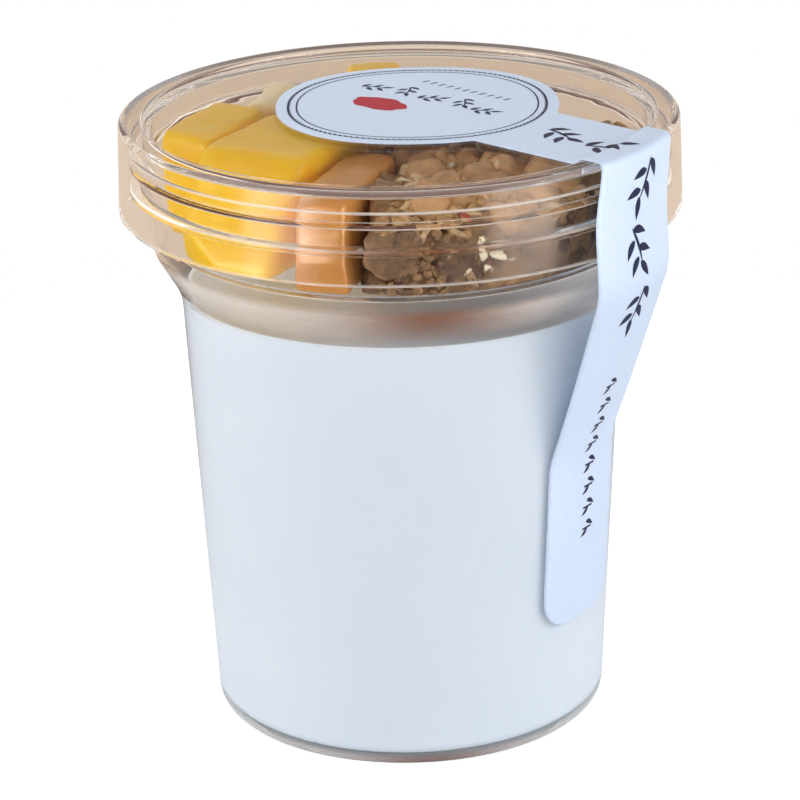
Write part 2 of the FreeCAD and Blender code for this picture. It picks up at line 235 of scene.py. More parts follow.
def coated_paper():
    """Coated label paper: cool white and even, a soft sheen over a fine fibre grain."""
    material, tree = new_material("coated_label_paper")
    fibre = noise(tree, object_place(tree), 0.8, 3.0)
    return finished(material, tree, principled(
        tree, Base_Color=mixed(tree, fibre, "#D0DFF3", "#DAE7F8"), Roughness=0.5,
        Normal=bumped(tree, fibre, 0.1, 0.05)))


def printing_ink(name, dark, light):
    """Offset ink on coated paper: dense, slightly uneven where the paper shows through."""
    material, tree = new_material(name)
    colour = mixed(tree, noise(tree, object_place(tree), 1.1, 2.0), dark, light)
    return finished(material, tree, principled(tree, Base_Color=colour, Roughness=0.42,
                                               Specular_IOR_Level=0.12))


def cut_flesh(name, deep, bright, pale, soak):
    """Ripe fruit flesh, knife cut: juicy and a little see-through, with fibres along the piece."""
    material, tree = new_material(name)
    place = object_place(tree)
    stretched = add_node(tree, "ShaderNodeMapping", {
        "Vector": place, "Rotation": (0.3, 0.2, math.radians(60)), "Scale": (0.18, 1.0, 0.7)}).outputs[0]
    fibres = noise(tree, stretched, 1.1, 4.0, Distortion=0.4)
    body = mixed(tree, noise(tree, place, 9, 2.0), deep, bright)
    colour = mixed(tree, ranged(tree, fibres, 0.52, 0.75, 0.0, 0.35), body, pale)
    return finished(material, tree, principled(
        tree, Base_Color=colour, Roughness=0.3, IOR=1.38, Subsurface_Weight=0.5, Subsurface_Radius=soak,
        Subsurface_Scale=3 * MM, Coat_Weight=0.1, Coat_Roughness=0.12,
        Normal=bumped(tree, fibres, 0.3, 0.35)))


def toasted_grain(name, dark, light, grain, roughness):
    """Oven-toasted oats bound with syrups: dry and crumbly, lighter on high spots and from piece to
    piece, by the piece's own tone, which also holds painted shade down the heap's sides."""
    material, tree = new_material(name)
    specks = noise(tree, object_place(tree), grain, 4.0, Roughness=0.65)
    spread = worked(tree, "ADD", attribute(tree, "tone"), specks)
    colour = mixed(tree, ranged(tree, spread, 0.45, 1.55), dark, light)
    return finished(material, tree, principled(
        tree, Base_Color=colour, Roughness=roughness, Subsurface_Weight=0.12,
        Subsurface_Radius=(1.0, 0.6, 0.3), Subsurface_Scale=0.8 * MM,
        Normal=bumped(tree, specks, 0.7, 0.35)))


CUP_PLASTIC = clear_plastic("clear_polystyrene_cup", "#FDFCFA", 0.02, 0.1)
TRAY_PLASTIC = clear_plastic("clear_polystyrene_tray", "#FEFCF8", 0.03, 0.3)
LID_PLASTIC = clear_plastic("clear_polystyrene_lid", "#FEFBF6", 0.035, 0.4)
YOGURT = set_yogurt()
LABEL_PAPER = coated_paper()
NAVY_INK = printing_ink("navy_printing_ink", "#171A33", "#2B3050")
RED_INK = printing_ink("red_printing_ink", "#B01026", "#C41C36")
MANGO = cut_flesh("ripe_mango_flesh", "#FFBC0A", "#FFD01C", "#FFE05C", (1.0, 0.6, 0.12))
PEAR = cut_flesh("syrup_pear_flesh", "#FFDDA4", "#FFEBC4", "#FFF3DC", (1.0, 0.8, 0.5))
PEACH = cut_flesh("yellow_peach_flesh", "#C08040", "#D49850", "#E2B070", (1.0, 0.5, 0.15))
GRANOLA = toasted_grain("toasted_granola_cluster", "#2E180F", "#CC9E6C", 2.2, 0.75)
OAT_FLAKE = toasted_grain("toasted_oat_flake", "#6B4628", "#E0C296", 1.6, 0.7)
PALE_OAT = toasted_grain("pale_oat_flake", "#CDB78C", "#EFE3C4", 1.4, 0.7)
CRUMB = toasted_grain("granola_crumb", "#3E2114", "#D0A673", 1.2, 0.8)
DRIED_BERRY = toasted_grain("dried_red_berry", "#6E1F1A", "#B0473A", 1.5, 0.45)

# ---------------------------------------------------------------- mesh helpers


def mesh_piece(name, points, faces, material, normals=None):
    """A smooth mesh object at the origin from points in millimetres."""
    mesh = bpy.data.meshes.new(name)
    mesh.from_pydata((np.asarray(points) * MM).tolist(), [], faces)
    mesh.materials.append(material)
    mesh.shade_smooth()
    if normals is not None:
        mesh.normals_split_custom_set_from_vertices(normals.tolist())
    piece = bpy.data.objects.new(name, mesh)
    scene.collection.objects.link(piece)
    return piece


def dress(piece, slot, *nodes):
    """The piece rides on the cup's only body and stands for the nodes named."""
    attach(piece, "root")
    if nodes:
        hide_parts(*nodes)
    return piece


def mark(piece, name, values):
    """A number at each of the piece's points, by name."""
    piece.data.attributes.new(name, "FLOAT", "POINT").data.foreach_set("value", values)


def smooth_step(x):
    """0 below 0, 1 above 1, and 3x^2 - 2x^3 between."""
    x = np.clip(x, 0, 1)
    return x * x * (3 - 2 * x)


def rounded_profile(corners, steps=6):
    """Points and outward normals of a profile through (radius, height, rounding) corners.

    Each corner is an arc that touches both of its straight sides, so the arc's centre is on the
    bisector at rounding / sin(half angle). The outward side is to the right of the way along. A fourth
    number is how whitish the corner is at its middle: partly its own edge, partly painted highlight.
    """
    corners = np.array([(*corner, 0)[:4] for corner in corners], float)
    places, normals, milky_and_painted_light = [corners[0, :2]], [], [0]
    for i in range(1, len(corners) - 1):
        here, rounding = corners[i, :2], max(corners[i, 2], 0.05)
        back, onward = corners[i - 1, :2] - here, corners[i + 1, :2] - here
        back, onward = back / np.linalg.norm(back), onward / np.linalg.norm(onward)
        half = math.acos(np.clip(back @ onward, -1, 1)) / 2
        bisector = (back + onward) / np.linalg.norm(back + onward)
        centre = here + bisector * rounding / math.sin(half)
        first, last = here + back * rounding / math.tan(half), here + onward * rounding / math.tan(half)
        a, b = (math.atan2(*(p - centre)[::-1]) for p in (first, last))
        b += 2 * math.pi * round((a - b) / (2 * math.pi))
        turn = np.linspace(a, b, steps)
        ray = np.stack([np.cos(turn), np.sin(turn)], axis=1)
        side = 1 if back[0] * onward[1] - back[1] * onward[0] < 0 else -1
        places.extend(centre + rounding * ray)
        normals.extend(side * ray)
        milky_and_painted_light.extend(corners[i, 3] * np.sin(np.linspace(0, math.pi, steps)) ** 0.5)
    places.append(corners[-1, :2])
    normals = [normals[0]] + normals + [normals[-1]]
    return np.array(places), np.array(normals), np.array(milky_and_painted_light + [0])


def turned_piece(name, corners, material, around=224, steps=6):
    """A closed profile turned about Z: x = r cos b, y = r sin b for bearings b all round."""
    profile, out, milky_and_painted_light = rounded_profile(corners, steps)
    bearing = np.linspace(0, 2 * math.pi, around, endpoint=False)
    ways = np.stack([np.cos(bearing), np.sin(bearing)], axis=1)
    rows = len(profile)
    points = np.empty((rows, around, 3))
    points[..., :2] = profile[:, None, :1] * ways
    points[..., 2] = profile[:, None, 1]
    normals = np.empty_like(points)
    normals[..., :2] = out[:, None, :1] * ways
    normals[..., 2] = out[:, None, 1]
    index = np.arange(rows * around).reshape(rows, around)
    inner = index[1:-1]
    ahead = np.roll(inner, -1, axis=1)
    quads = np.stack([inner[:-1], ahead[:-1], ahead[1:], inner[1:]], axis=2).reshape(-1, 4)
    keep = np.arange(around, (rows - 1) * around)
    points = np.concatenate([points.reshape(-1, 3)[keep], points[0, :1], points[-1, :1]])
    normals = np.concatenate([normals.reshape(-1, 3)[keep], normals[0, :1], normals[-1, :1]])
    quads -= around
    first_pole, last_pole = len(keep), len(keep) + 1
    ring = np.arange(around)
    onward = np.roll(ring, -1)
    last = ring + len(keep) - around
    last_on = np.roll(last, -1)
    fans = np.concatenate([
        np.stack([np.full(around, first_pole), onward, ring], axis=1),
        np.stack([last, last_on, np.full(around, last_pole)], axis=1)])
    piece = mesh_piece(name, points, quads.tolist() + fans.tolist(), material, normals)
    mark(piece, "milky_and_painted_light", np.concatenate([np.repeat(milky_and_painted_light[1:-1], around), milky_and_painted_light[[0, -1]]]))
    return piece


def grid_faces(rows, columns):
    """Quads of an open grid whose points are stored row by row. They face the cross product of the
    way from row to row with the way from column to column."""
    index = np.arange(rows * columns).reshape(rows, columns)
    return np.stack([index[:-1, :-1], index[1:, :-1], index[1:, 1:], index[:-1, 1:]], axis=2).reshape(-1, 4)


def block_grid(count):
    """The surface of the cube from -1 to 1, as points and quads, count cells along each edge."""
    line = np.linspace(-1, 1, count + 1)
    u, v = (side.ravel() for side in np.meshgrid(line, line, indexing="ij"))
    one = np.ones_like(u)
    sides = [(u, v, one), (v, u, -one), (one, u, v), (-one, v, u), (v, one, u), (u, -one, v)]
    points = np.concatenate([np.stack(side, axis=1) for side in sides])
    cells = grid_faces(count + 1, count + 1)
    faces = np.concatenate([cells + k * len(u) for k in range(6)])
    points, joined = np.unique(np.round(points, 6), axis=0, return_inverse=True)
    return points, joined.reshape(-1)[faces]


def uneven(points, size, seed):
    """Smooth waves about size mm long at each point, between -1 and 1, from sines of its place."""
    turns = np.random.default_rng(seed).normal(size=(5, 3))
    turns *= (2 * math.pi / size / np.linalg.norm(turns, axis=1))[:, None]
    phases = np.arange(5) * 1.9 + seed
    return np.sin(points @ turns.T + phases).mean(axis=1) * 1.4


def tray_limit(height, gap):
    """The radius inside the tray at a height, less a gap."""
    share = (height - TRAY_FLOOR) / (FLANGE_TOP - TRAY_FLOOR)
    return (TRAY_FLOOR_OUTER + (TRAY_TOP_OUTER - TRAY_FLOOR_OUTER) * np.clip(share, 0, 1)) - TRAY_WALL - gap


def inside_tray(points, gap):
    """Points pressed into the room between the tray's floor and wall and the lid's panel."""
    points = points.copy()
    points[:, 2] = np.clip(points[:, 2], TRAY_FLOOR + gap / 2, PANEL_UNDER - gap)
    rounding = TRAY_ROUNDING - TRAY_WALL
    rise = np.clip(rounding - (points[:, 2] - TRAY_FLOOR), 0, rounding)
    limit = tray_limit(points[:, 2], gap) - (rounding - np.sqrt(rounding ** 2 - rise ** 2))
    radius = np.hypot(points[:, 0], points[:, 1])
    points[:, :2] *= np.minimum(1, limit / np.maximum(radius, 1e-9))[:, None]
    return points


# ---------------------------------------------------------------- clear pieces and yogurt


def cup_inside(inset):
    """The cup's inner profile from the axis up to the shoulder, moved outwards by an inset."""
    wall = CUP_WALL - inset
    floor = BASE_RECESS + BASE_WALL - inset
    return [(0, floor, 0), (FOOT_RADIUS - wall, floor, FOOT_ROUNDING - wall),
            (WAIST_RADIUS - wall, WAIST_HEIGHT, WAIST_ROUNDING + wall),
            (SHOULDER_RADIUS - wall, SHOULDER, SHOULDER_ROUNDING - wall)]


def make_cup():
    """Foot ring, tapered wall, shoulder, and a neck with a lip all round. Above the yogurt the wall
    has a whitish coat, partly yogurt left on the wall and partly painted light, with a painted brown
    reflection of the granola in it near the front and a painted highlight beside that."""
    lip, lip_top = RIM - LIP_DROP, RIM - LIP_DROP + LIP_THICKNESS
    # Fourth numbers whiten rounded edges: partly the plastic's own whitish edges, partly painted highlight;
    # at the foot, painted light.
    outside = [(0, BASE_RECESS, 0), (FOOT_RADIUS - FOOT_RING, BASE_RECESS, 0.4),
               (FOOT_RADIUS - FOOT_RING, 0, 0.4), (FOOT_RADIUS, 0, FOOT_ROUNDING, 0.6),
               (WAIST_RADIUS, WAIST_HEIGHT, WAIST_ROUNDING), (SHOULDER_RADIUS, SHOULDER, SHOULDER_ROUNDING),
               (MOUTH_RADIUS, lip, 0.3), (LIP_RADIUS, lip, 0.45, 0.3), (LIP_RADIUS, lip_top, 0.55, 0.6),
               (MOUTH_RADIUS, lip_top, 0.3, 0.2), (MOUTH_RADIUS, RIM, 0.3, 0.3),
               (MOUTH_RADIUS - CUP_WALL, RIM, 0.3, 0.3)]
    inside = [(MOUTH_RADIUS - CUP_WALL, lip, 3.0)] + cup_inside(0)[::-1]
    cup = turned_piece("cup_shell", outside + inside, CUP_PLASTIC)
    points = np.array([v.co for v in cup.data.vertices]) / MM
    # A whitish coat in a band over the yogurt: partly yogurt left on the wall, partly painted light.
    smear_and_painted_light = smooth_step((points[:, 2] - LEVEL - 2) / 4) * smooth_step((TRAY_UNDER - points[:, 2]) / 3)
    bearing = np.degrees(np.arctan2(points[:, 1], points[:, 0]))
    milky_and_painted_light = cup.data.attributes["milky_and_painted_light"]
    bare = np.array([m.value for m in milky_and_painted_light.data])
    # Near the front the coat turns brown, a painted reflection of the granola; beside it, a painted
    # highlight.
    painted_granola_reflection, painted_shoulder_highlight = np.exp(-((bearing + 84) / 22) ** 2), np.exp(-((bearing + 56) / 16) ** 2)
    film_and_painted_light = smear_and_painted_light * np.clip(0.62 + 0.2 * painted_granola_reflection + 0.2 * painted_shoulder_highlight, 0, 0.85)
    milky_and_painted_light.data.foreach_set("value", bare + film_and_painted_light)
    mark(cup, "painted_granola_reflection", painted_granola_reflection)
    dress(cup, "clear_plastic", "cup")


def make_yogurt():
    """Yogurt that reaches just into the cup's wall, with its edge drawn up the wall a little."""
    climb, slope = 0.8, (WAIST_RADIUS - FOOT_RADIUS) / WAIST_HEIGHT
    into_wall = 0.4
    edge = FOOT_RADIUS + slope * LEVEL - CUP_WALL + into_wall
    profile = cup_inside(into_wall)[:2] + [
        (edge, LEVEL + climb, 0.1), (edge - into_wall - 0.2, LEVEL + climb, 0.1),
        (edge - 1.6, LEVEL, 1.2), (edge - 4, LEVEL - 0.15, 2.0), (0, LEVEL - 0.15, 0)]
    dress(turned_piece("yogurt_fill", profile, YOGURT), "yogurt", "yogurt")


def make_tray():
    """Shallow tray, its flange on the cup's rim, and an upright edge round the flange."""
    # Fourth numbers whiten rounded edges: partly the plastic's own whitish edges, partly painted highlight.
    tray = turned_piece("tray_shell", [
        (0, TRAY_UNDER, 0), (TRAY_FLOOR_OUTER, TRAY_UNDER, TRAY_ROUNDING, 0.12), (TRAY_TOP_OUTER, RIM, 0.3),
        (LIP_RADIUS, RIM, 0.4, 0.6), (LIP_RADIUS, TRAY_EDGE, 0.42, 0.6),
        (LIP_RADIUS - TRAY_WALL, TRAY_EDGE, 0.42, 0.6),
        (LIP_RADIUS - TRAY_WALL, FLANGE_TOP, 0.3, 0.5), (TRAY_TOP_OUTER - TRAY_WALL, FLANGE_TOP, 0.4, 0.3),
        (TRAY_FLOOR_OUTER - TRAY_WALL, TRAY_FLOOR, TRAY_ROUNDING - TRAY_WALL), (0, TRAY_FLOOR, 0)],
        TRAY_PLASTIC)
    dress(tray, "clear_plastic", "tray")


def make_lid():
    """Recessed panel, raised rim, plug ring down to the flange, and a deep skirt."""
    rim_under, plug = LID_TOP - LID_WALL, RIM_INNER - LID_WALL
    # Fourth numbers whiten rounded edges: partly the plastic's own whitish edges, partly painted highlight.
    lid = turned_piece("lid_shell", [
        (0, PANEL_UNDER, 0), (plug, PANEL_UNDER, 0.4), (plug, FLANGE_TOP, 0.5, 0.6),
        (RIM_INNER, FLANGE_TOP, 0.5, 0.6), (RIM_INNER, rim_under, 0.4),
        (LID_RADIUS - LID_WALL, rim_under, 0.4), (SKIRT_RADIUS - LID_WALL, SKIRT_EDGE, 0.4, 0.3),
        (SKIRT_RADIUS, SKIRT_EDGE, 0.5, 0.3), (LID_RADIUS, LID_TOP, LID_ROUNDING, 0.12),
        (RIM_INNER, LID_TOP, LID_ROUNDING / 2, 0.2), (RIM_INNER, PANEL_TOP, 0.5, 0.25), (0, PANEL_TOP, 0)],
        LID_PLASTIC)
    dress(lid, "clear_plastic", "lid")


make_cup()
make_yogurt()
make_tray()
make_lid()

# ---------------------------------------------------------------- label


def label_way():
    """The strip's path off the lid: radius and height against length along it, from where it starts
    round the rim, and the radius of that start."""
    slope = (WAIST_RADIUS - FOOT_RADIUS) / WAIST_HEIGHT
    hang = SKIRT_EDGE - TAIL_HANG
    landing = hang - TAIL_LANDING
    corners = [(LID_RADIUS - 3, LID_TOP + PAPER_GAP, 0),
               (LID_RADIUS + PAPER_GAP, LID_TOP + PAPER_GAP, LID_ROUNDING),
               (SKIRT_RADIUS + PAPER_GAP, hang, TAIL_BEND),
               (FOOT_RADIUS + landing * slope + PAPER_GAP, landing, TAIL_BEND),
               (FOOT_RADIUS + TAIL_END * slope + PAPER_GAP, TAIL_END, 0)]
    path = rounded_profile(corners, 24)[0][1:]
    length = np.concatenate([[0], np.cumsum(np.linalg.norm(np.diff(path, axis=0), axis=1))])
    return length, path[:, 0], path[:, 1]


WAY_LENGTH, WAY_RADIUS, WAY_HEIGHT = label_way()
FOLD_RADIUS = WAY_RADIUS[0]
FOLD_ALONG = math.sqrt(FOLD_RADIUS ** 2 - DISC_ACROSS ** 2)
LABEL_END = FOLD_ALONG + WAY_LENGTH[-1]


def label_place(along, across):
    """The place on the label's underside of a point along the strip's centre line and across it.

    On the lid the strip runs straight at its bearing, at the height of panel, step or rim. Past the
    fold it goes down the path, and its bearing turns from where it crossed the fold to the tail's.
    """
    side = DISC_ACROSS + across
    fold = np.sqrt(FOLD_RADIUS ** 2 - side ** 2)
    along = along + smooth_step((along - 24) / (FOLD_ALONG - 24)) * (fold - FOLD_ALONG)
    turn = math.radians(STRIP_BEARING)
    x = along * math.cos(turn) - side * math.sin(turn)
    y = along * math.sin(turn) + side * math.cos(turn)
    step = smooth_step((np.hypot(x, y) - (RIM_INNER - RIM_WIDTH / 2)) / (RIM_WIDTH / 2))
    on_lid = np.stack([x, y, PANEL_TOP + PAPER_GAP + step * PANEL_RECESS], axis=-1)
    past = along - fold
    radius = np.interp(past, WAY_LENGTH, WAY_RADIUS)
    height = np.interp(past, WAY_LENGTH, WAY_HEIGHT)
    crossed = turn + np.arcsin(side / FOLD_RADIUS)
    centre = SKIRT_BEARING + smooth_step((past - 10) / 50) * (TAIL_BEARING - SKIRT_BEARING)
    hung = np.radians(centre) + np.arcsin(across / radius)
    bearing = crossed + smooth_step(past / 12) * (hung - crossed)
    down = np.stack([radius * np.cos(bearing), radius * np.sin(bearing), height], axis=-1)
    return np.where((past < 0)[..., None], on_lid, down)


def label_surface(along, across, lift):
    """Label places lifted off the underside along the surface's own normal."""
    step = 0.05
    ahead = label_place(along + step, across) - label_place(along - step, across)
    aside = label_place(along, across + step) - label_place(along, across - step)
    normal = np.cross(ahead, aside)
    normal /= np.linalg.norm(normal, axis=-1, keepdims=True)
    return label_place(along, across) + lift * normal


def disc_outline(angle, radius):
    """A slightly squared circle, |x|^n + |y|^n = r^n with its flats square to the cup's X and Y, as
    distance from its centre at an angle from the strip's centre line."""
    turn = angle + math.radians(STRIP_BEARING)
    n = DISC_SQUARENESS
    return radius * (np.abs(np.cos(turn)) ** n + np.abs(np.sin(turn)) ** n) ** (-1 / n)


def make_label():
    """One sheet: rows across the disc from its far end, then across the strip to its rounded end."""
    half = STRIP_WIDTH / 2
    angle = np.linspace(math.pi, 0, 181)
    reach = disc_outline(angle, DISC_RADIUS)
    rows, left = DISC_ALONG + reach * np.cos(angle), reach * np.sin(angle)
    other = disc_outline(-angle, DISC_RADIUS)
    right = np.interp(rows, DISC_ALONG + other * np.cos(angle), other * np.sin(angle))
    on_disc = (rows < DISC_ALONG) | (left > half)
    rows, left, right = rows[on_disc], left[on_disc], np.maximum(right[on_disc], 0)
    strip = np.arange(rows[-1] + 0.6, LABEL_END - TAIL_ROUNDING, 0.6)
    end = np.linspace(0, math.pi / 2, 14)
    end_rows = LABEL_END - TAIL_ROUNDING * (1 - np.sin(end))
    end_half = half - TAIL_ROUNDING * (1 - np.cos(end))
    rows = np.concatenate([rows, strip, end_rows])
    left = np.concatenate([left, np.full(len(strip), half), end_half])
    right = np.concatenate([np.where(rows[:len(right)] > DISC_ALONG, np.maximum(right, half), right),
                            np.full(len(strip), half), end_half])
    share = np.linspace(0, 1, 25)
    across = -right[:, None] + (left + right)[:, None] * share
    along = np.broadcast_to(rows[:, None], across.shape)
    points = label_surface(along, across, PAPER + PAPER_GAP)
    label = mesh_piece("label_sheet", points.reshape(-1, 3), grid_faces(*across.shape).tolist(), LABEL_PAPER)
    wall = label.modifiers.new("paper", "SOLIDIFY")
    wall.thickness, wall.offset = PAPER * MM, -1
    dress(label, "label_paper", "label")


def print_piece(name, shapes, material):
    """Ink on the label from (rows, columns, along and across) grids, just proud of the paper."""
    points, faces, start = [], [], 0
    for shape in shapes:
        along, across = shape[..., 0], shape[..., 1]
        points.append(label_surface(along, across, PAPER + PAPER_GAP + 0.02).reshape(-1, 3))
        faces.append(grid_faces(*along.shape) + start)
        start += along.size
    piece = mesh_piece(name, np.concatenate(points), np.concatenate(faces).tolist(), material)
    dress(piece, "label_paper")


def turned_on_label(along, across, turn, u, v):
    """Along and across of points u and v away from a place, turned there by an angle in degrees."""
    turn = math.radians(turn)
    return np.stack([along + u * math.cos(turn) - v * math.sin(turn),
                     across + u * math.sin(turn) + v * math.cos(turn)], axis=-1)


def leaf_shape(along, across, turn, length, width, bend=0.0):
    """A leaf: half width = width/2 * sin(pi * s^0.7) along a spine that bows sideways by bend."""
    s = np.linspace(0, 1, 13)[:, None]
    t = np.linspace(-1, 1, 5)[None, :]
    u = length * (s - 0.5) + 0 * t
    v = width / 2 * np.sin(math.pi * s ** 0.7) * t + bend * length * (1 - (2 * s - 1) ** 2)
    return turned_on_label(along, across, turn, u, v)


def bar_shape(along, across, turn, length, width):
    """A short straight bar."""
    u, v = np.meshgrid(np.linspace(-0.5, 0.5, 4) * length, np.linspace(-0.5, 0.5, 3) * width, indexing="ij")
    return turned_on_label(along, across, turn, u, v)


def sprig(along, across, turn, length):
    """A bowed stem with five leaves, broad in proportion, as one brush would leave them."""
    way = math.radians(turn)
    shapes = [leaf_shape(along, across, turn, length, 0.075 * length, 0.06)]
    for share, side in ((-0.3, 1), (-0.08, -1), (0.12, 1), (0.3, -1), (0.5, 0.3)):
        out = 0.2 * side * length
        shapes.append(leaf_shape(along + share * length * math.cos(way) - out * math.sin(way),
                                 across + share * length * math.sin(way) + out * math.cos(way),
                                 turn + 52 * side, 0.46 * length, 0.17 * length, 0.07 * side))
    return shapes


def make_print():
    """A rope ring and a thin ring near the disc's edge, sprigs of leaves, rows of dashes, and a plain
    red shape."""
    shapes = []
    rope, thin, count = 22.3, 20.9, 132
    turn = np.linspace(0, 2 * math.pi, 241)[:, None]
    for radius, width in ((thin, 0.3), (rope + 0.1, 0.22)):
        reach = disc_outline(turn, radius) + np.linspace(width / 2, -width / 2, 2)[None, :]
        shapes.append(np.stack([DISC_ALONG + reach * np.cos(turn), reach * np.sin(turn)], axis=-1))
    for k in range(count):
        angle = 2 * math.pi * k / count
        reach = disc_outline(angle, rope)
        shapes.append(bar_shape(DISC_ALONG + reach * math.cos(angle), reach * math.sin(angle),
                                math.degrees(angle) + 62, 1.0, 0.42))
    disc_sprigs = ((-15.5, 3.2, 25), (-9.4, 5.2, -60), (-2.8, 4.0, 35), (3.6, 5.4, -50), (9.6, 3.6, 20))
    for place in disc_sprigs:
        shapes += sprig(*place, 5.2)
    for k in range(11):
        shapes.append(bar_shape(-11 + 1.9 * k, 11.8, 78, 1.5, 0.42))
    strip_sprigs = ((29.5, 0.6, -20), (40.5, -0.8, 15), (52.5, 0.8, -25), (63.5, -0.6, 20), (74.5, 0.6, -15))
    for place in strip_sprigs:
        shapes += sprig(*place, 8.6)
    for k in range(8):
        shapes.append(leaf_shape(90.0 + 4.0 * k, 0.9, 62, 2.9, 0.85, 0.08))
        shapes.append(leaf_shape(91.2 + 4.0 * k, -0.9, -58, 2.7, 0.8, 0.08))
        shapes.append(bar_shape(90.6 + 4.0 * k, 0.0, 88, 2.9, 0.38))
    print_piece("label_print", shapes, NAVY_INK)
    turn = np.linspace(0, 2 * math.pi, 49)[:, None]
    reach = np.linspace(1, 0, 6)[None, :] * (1 + 0.05 * np.sin(5 * turn) + 0.03 * np.sin(9 * turn + 1))
    oval = np.stack([-7.5 + 5.6 * reach * np.cos(turn), -4.0 + 3.3 * reach * np.sin(turn)], axis=-1)
    print_piece("label_seal", [oval], RED_INK)


make_label()
make_print()

# ---------------------------------------------------------------- fruit

# The granola ends at the peach piece's side, so its place, turn in degrees and sizes are used twice.
PEACH_PLACE, PEACH_TURN, PEACH_LENGTH, PEACH_WIDTH = np.array([-9.2, -24.8]), 72, 29.0, 9.2


def cut_fruit(name, material, x, y, turn, length, width, height, slope, lump, ridge=0.0, lean=0.0, seed=1,
              skew=0.0):
    """A knife-cut chunk: the cube pressed to |x|^p + |y|^p + |z|^p = 1 with p = 11, so its edges are
    soft, then scaled, its front end sloped back by the slope, its left side drawn along by the skew,
    with a ridge along its top and low waves all over."""
    unit, faces = block_grid(32)
    unit = unit / (np.abs(unit) ** 11).sum(axis=1, keepdims=True) ** (1 / 11)
    share = (unit[:, 2] + 1) / 2
    points = unit * np.array([length, width, height]) / 2
    points[:, 0] += share * slope * (1 - unit[:, 0]) / 2 + skew * unit[:, 1]
    points[:, 2] -= share * ridge * np.abs(unit[:, 1] - lean) ** 1.3
    waves = uneven(points, 13, seed) * 0.7 + uneven(points, 5, seed + 9) * 0.3
    points += unit / np.linalg.norm(unit, axis=1, keepdims=True) * (waves * lump)[:, None]
    angle = math.radians(turn)
    spin = np.array([[math.cos(angle), math.sin(angle)], [-math.sin(angle), math.cos(angle)]])
    points[:, :2] = points[:, :2] @ spin
    points += (x, y, TRAY_FLOOR + height / 2)
    return mesh_piece(name, inside_tray(points, 0.25), faces.tolist(), material)


def make_fruit():
    """Three mango chunks, a pear and a peach piece in the left half of the tray."""
    chunks = [("mango_1", MANGO, (-32.3, 5.3, 66, 23.6, 11.6, 17.4, 1), (0.25, 0.2, 0.0, 3, 2.0)),
              ("mango_2", MANGO, (-22, -11.75, 60, 34, 20, 17.9, 11), (0.25, 0.0, 0.0, 5)),
              ("mango_3", MANGO, (-4, 36.6, 4, 9.8, 9.4, 17.75, 0), (0.3, 0.3, 0.0, 8)),
              ("pear_1", PEAR, (-21.2, 22, 75, 14, 9, 17.2, 1), (0.5, 0.8, 0.1, 11)),
              ("peach_1", PEACH, (*PEACH_PLACE, PEACH_TURN, PEACH_LENGTH, PEACH_WIDTH, 16.2, 2),
               (0.3, 0.6, -0.2, 14))]
    for node, material, sizes, form in chunks:
        dress(cut_fruit(f"{node}_chunk", material, *sizes, *form), node[:-2], node)


make_fruit()

# ---------------------------------------------------------------- granola

HEAP_HEIGHT, HEAP_BACK, HEAP_LEFT, FOOD_GAP = 15.6, 14.0, -3.9, 0.3
HEAP_HEART = np.array([0.36, -0.34]) * (TRAY_FLOOR_OUTER - TRAY_WALL - FOOD_GAP)


def heap_reach(bearing, up, inset):
    """How far the heap goes from its heart: to the tray's wall, to its back and left, or to the peach
    piece's side, up to that piece's far end."""
    way = np.stack([np.cos(bearing), np.sin(bearing)], axis=-1)
    along = way @ HEAP_HEART
    radius = tray_limit(TRAY_FLOOR + up, FOOD_GAP + inset)
    reach = -along + np.sqrt(along ** 2 + radius ** 2 - HEAP_HEART @ HEAP_HEART)
    lengthwise = np.array([math.cos(math.radians(PEACH_TURN)), math.sin(math.radians(PEACH_TURN))])
    peach_side = np.array([lengthwise[1], -lengthwise[0]])
    to_peach = (HEAP_HEART - PEACH_PLACE) @ peach_side - PEACH_WIDTH / 2 - 2 * FOOD_GAP - inset
    facing = way @ -peach_side
    limit = to_peach / np.maximum(facing, 1e-6)
    past = (HEAP_HEART - PEACH_PLACE) @ lengthwise + limit * (way @ lengthwise) - PEACH_LENGTH / 2
    reach = np.where((facing > 1e-6) & (past < 2), np.minimum(reach, limit), reach)
    for normal, distance in (((0.0, 1.0), HEAP_BACK - inset - HEAP_HEART[1]),
                             ((-1.0, 0.0), HEAP_HEART[0] - HEAP_LEFT - inset)):
        facing = way @ np.array(normal)
        reach = np.where(facing > 1e-6, np.minimum(reach, distance / np.maximum(facing, 1e-6)), reach)
    return reach


def heap_point(bearing, share, up, inset):
    """A point of the heap at a bearing, a share of its reach and a height above the tray's floor."""
    distance = heap_reach(bearing, up, inset) * share
    return np.stack([HEAP_HEART[0] + distance * np.cos(bearing), HEAP_HEART[1] + distance * np.sin(bearing),
                     TRAY_FLOOR + up + 0 * distance], axis=-1)


def heap_top(share):
    """The height of the heap's top: level, falling by the fourth power of the share at its edge."""
    return HEAP_HEIGHT - 1.2 - 2.2 * share ** 4


